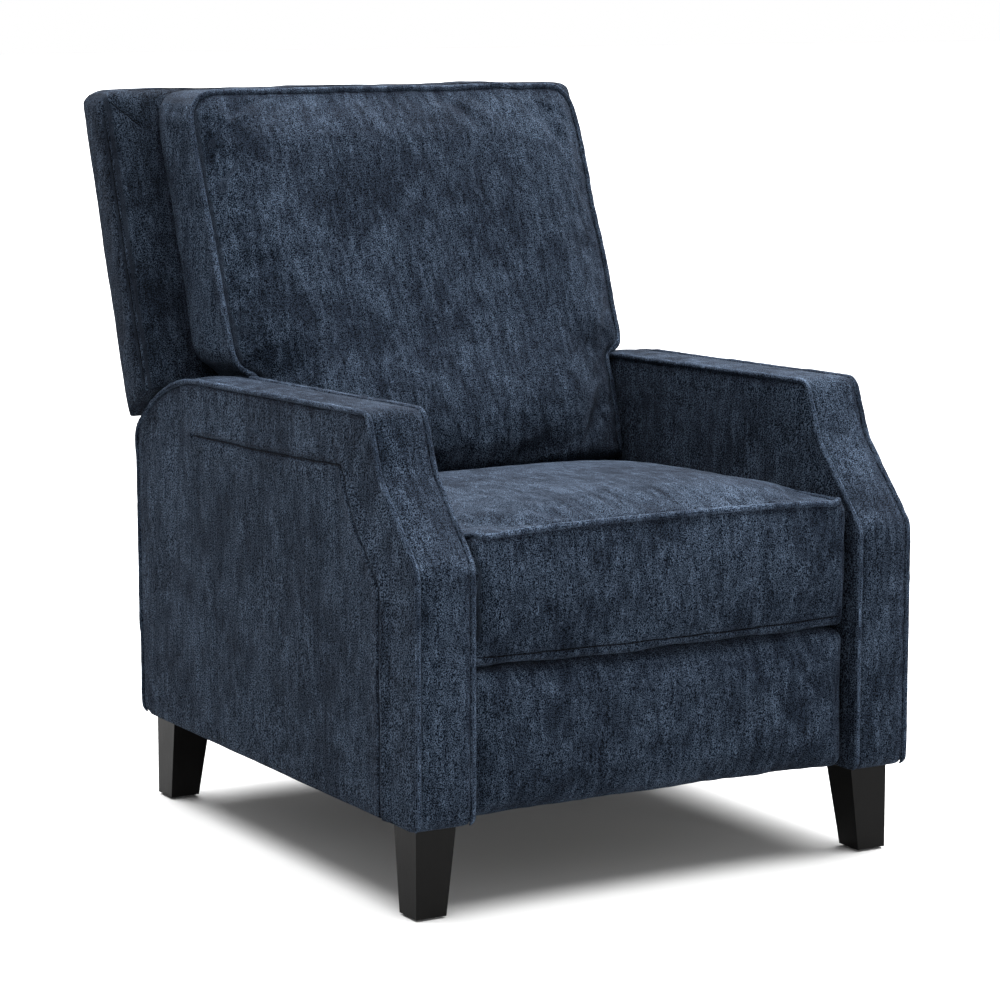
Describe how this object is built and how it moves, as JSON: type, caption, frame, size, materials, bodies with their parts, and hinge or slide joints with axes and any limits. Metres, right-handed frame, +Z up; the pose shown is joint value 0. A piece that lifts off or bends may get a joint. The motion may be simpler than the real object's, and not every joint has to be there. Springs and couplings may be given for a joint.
{
  "type": "recliner armchair",
  "caption": "Push-back recliner armchair with track arms, a wide tilting back, a sprung seat that slides and a fold-out footrest.",
  "frame": {"origin": "on the floor, under the centre of the chair's bounding box at rest", "axes": "+Z up, front of the chair towards -Y, +X to the sitter's left"},
  "size_m": [0.792, 0.9828, 1.015],
  "materials": {
    "chenille": "brushed navy chenille, finely ribbed",
    "piping": "self-fabric welt piping",
    "dust_cloth": "black non-woven cloth",
    "dark_wood": "near-black satin lacquer",
    "frame_wood": "raw plywood and softwood",
    "mechanism_steel": "black e-coated steel",
    "zinc": "bright zinc plate",
    "spring_wire": "drawn wire",
    "black_plastic": "moulded"
  },
  "bodies": {
    "base": {"arm_frame_left": "frame_wood", "arm_frame_right": "frame_wood", "arm_outer_panel_left": "chenille", "arm_outer_panel_right": "chenille", "arm_inner_panel_left": "chenille", "arm_inner_panel_right": "chenille", "arm_band_left": "chenille", "arm_band_right": "chenille", "arm_piping_left": "piping", "arm_piping_right": "piping", "rear_rail": "frame_wood", "rear_panel": "chenille", "dust_cover": "dust_cloth", "side_plate_left": "mechanism_steel", "side_plate_right": "mechanism_steel", "base_pivots": "zinc", "rear_stretcher": "mechanism_steel", "leg_front_left": "dark_wood", "leg_front_right": "dark_wood", "leg_rear_left": "dark_wood", "leg_rear_right": "dark_wood", "leg_plates": "mechanism_steel", "leg_bolts": "zinc", "leg_glides": "black_plastic"},
    "seat": {"seat_front_rail": "frame_wood", "seat_rear_rail": "frame_wood", "seat_side_rails": "frame_wood", "seat_springs": "spring_wire", "seat_cushion": "chenille", "seat_piping": "piping", "seat_runners": "mechanism_steel"},
    "back": {"back_frame": "frame_wood", "back_outer_pad": "chenille", "back_lining_pad": "chenille", "back_cushion": "chenille", "back_piping": "piping", "back_bracket_left": "mechanism_steel", "back_bracket_right": "mechanism_steel"},
    "footrest": {"footrest_board": "frame_wood", "footrest_pad": "chenille", "footrest_bracket_left": "mechanism_steel", "footrest_bracket_right": "mechanism_steel", "footrest_pivots": "zinc"},
    "rear_links": {"rear_link_left": "mechanism_steel", "rear_link_right": "mechanism_steel", "rear_link_pivots": "zinc"},
    "front_links": {"front_link_left": "mechanism_steel", "front_link_right": "mechanism_steel", "front_link_pivots": "zinc"},
    "control_links": {"control_link_left": "mechanism_steel", "control_link_right": "mechanism_steel"},
    "brace_links": {"brace_link_left": "mechanism_steel", "brace_link_right": "mechanism_steel", "torque_tube": "mechanism_steel"}
  },
  "joints": [
    {"name": "recline", "type": "hinge", "parent": "base", "child": "back", "pos_m": [0, 0.1386, 0.33], "axis": [-1, 0, 0], "range_deg": [0, 32]},
    {"name": "seat_slide", "type": "slide", "parent": "base", "child": "seat", "axis": [0, -1, 0], "range_m": [0, 0.0501]},
    {"name": "rear_link_swing", "type": "hinge", "parent": "base", "child": "rear_links", "pos_m": [0, -0.2669, 0.2909], "axis": [-1, 0, 0], "range_deg": [0, 125.1]},
    {"name": "front_link_fold", "type": "hinge", "parent": "rear_links", "child": "front_links", "pos_m": [0, -0.1258, 0.1402], "axis": [-1, 0, 0], "range_deg": [-123.1, 0]},
    {"name": "footrest_tilt", "type": "hinge", "parent": "front_links", "child": "footrest", "pos_m": [0, -0.4004, 0.2297], "axis": [-1, 0, 0], "range_deg": [0, 88.1]},
    {"name": "control_link_swing", "type": "hinge", "parent": "base", "child": "control_links", "pos_m": [0, -0.3389, 0.3], "axis": [-1, 0, 0], "range_deg": [0, 125.5]},
    {"name": "brace_link_swing", "type": "hinge", "parent": "rear_links", "child": "brace_links", "pos_m": [0, -0.13389, 0.16091], "axis": [-1, 0, 0], "range_deg": [-124.4, 0]}
  ],
  "couplings": [
    {"joint": "seat_slide", "follows": "recline", "m_per_rad": 0.08952},
    {"joint": "rear_link_swing", "follows": "recline", "ratio": 3.9062},
    {"joint": "front_link_fold", "follows": "recline", "ratio": -3.8438},
    {"joint": "footrest_tilt", "follows": "recline", "ratio": 2.75},
    {"joint": "control_link_swing", "follows": "recline", "ratio": 3.9188},
    {"joint": "brace_link_swing", "follows": "recline", "ratio": -3.8844}
  ]
}
